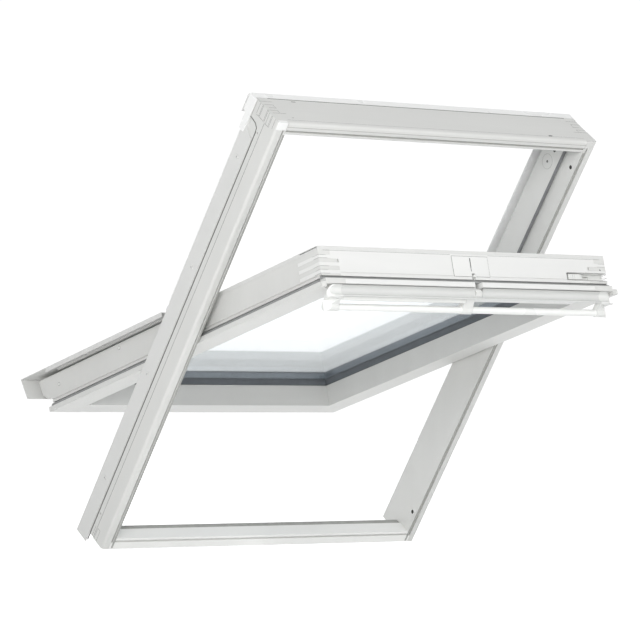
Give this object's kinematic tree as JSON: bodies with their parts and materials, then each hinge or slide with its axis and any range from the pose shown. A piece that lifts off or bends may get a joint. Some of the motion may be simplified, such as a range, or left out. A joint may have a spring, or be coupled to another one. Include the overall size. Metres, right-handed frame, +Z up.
{
  "type": "roof skylight",
  "caption": "Centre-pivot roof window in white-painted timber, with a double-glazed sash, outside metal covers and a vent flap worked by a bar.",
  "frame": {"origin": "middle of the frame's bottom face, at its room side edge", "axes": "+X across the window, +Z up, +Y towards the outside; the frame leans back at the roof pitch"},
  "size_m": [0.7832, 0.9772, 0.8545],
  "materials": {
    "timber_white": "white painted timber, satin",
    "lacquer_white": "white lacquered timber, smooth satin",
    "metal_white": "white powder coat, satin",
    "zinc_steel": "zinc plated steel",
    "seal_grey": "grey seal rubber, matt",
    "clear_glass": "clear float glass",
    "plastic_white": "white moulded plastic, satin"
  },
  "bodies": {
    "frame": {"frame_left_rail": "timber_white", "frame_right_rail": "timber_white", "frame_top_rail": "timber_white", "frame_bottom_rail": "timber_white", "frame_step_seal": "seal_grey", "frame_sill_seal": "seal_grey", "side_cladding_left": "metal_white", "side_cladding_right": "metal_white", "top_cover": "metal_white", "upper_cover_left": "metal_white", "upper_cover_right": "metal_white", "cladding_screws": "zinc_steel", "hinge_frame_left": "zinc_steel", "hinge_frame_right": "zinc_steel", "hinge_frame_screws": "zinc_steel", "strike_plate": "zinc_steel", "bolt_bushes": "plastic_white"},
    "sash": {"sash_left_rail": "timber_white", "sash_right_rail": "timber_white", "sash_top_rail": "lacquer_white", "sash_bottom_rail": "timber_white", "sash_seal": "seal_grey", "inner_pane": "clear_glass", "outer_pane": "clear_glass", "pane_spacer": "zinc_steel", "inner_glazing_seal": "seal_grey", "outer_glazing_seal": "seal_grey", "setting_blocks": "seal_grey", "glazing_bead_left": "metal_white", "glazing_bead_right": "metal_white", "glazing_bead_top": "metal_white", "lower_cover_left": "metal_white", "lower_cover_right": "metal_white", "bottom_cover": "metal_white", "cover_screws": "zinc_steel", "hinge_sash_left": "zinc_steel", "hinge_sash_right": "zinc_steel", "hinge_sash_screws": "zinc_steel", "lock_case": "zinc_steel", "blank_plate": "metal_white", "bolt_guide": "plastic_white", "flap_hinges": "zinc_steel"},
    "vent_flap": {"flap_profile": "plastic_white", "flap_seal": "seal_grey", "grip_bar": "metal_white", "grip_slat": "plastic_white", "end_cap_left": "plastic_white", "end_cap_right": "plastic_white", "centre_bracket": "plastic_white"},
    "latch": {"latch_hook": "zinc_steel"},
    "barrel_bolt": {"barrel_bolt": "zinc_steel"}
  },
  "joints": [
    {"name": "sash_pivot", "type": "hinge", "parent": "frame", "child": "sash", "pos_m": [0, -0.19584, 0.46032], "axis": [1, 0, 0], "range_deg": [-40, 121]},
    {"name": "flap_hinge", "type": "hinge", "parent": "sash", "child": "vent_flap", "pos_m": [0, -0.63718, 0.48161], "axis": [1, 0, 0], "range_deg": [0, 30]},
    {"name": "latch_hinge", "type": "hinge", "parent": "sash", "child": "latch", "pos_m": [0.013, -0.64173, 0.49618], "axis": [1, 0, 0], "range_deg": [-15, 0]},
    {"name": "bolt_slide", "type": "slide", "parent": "sash", "child": "barrel_bolt", "axis": [1, 0, 0], "range_m": [0, 0.024]}
  ],
  "couplings": [
    {"joint": "latch_hinge", "follows": "flap_hinge", "ratio": -0.5}
  ]
}
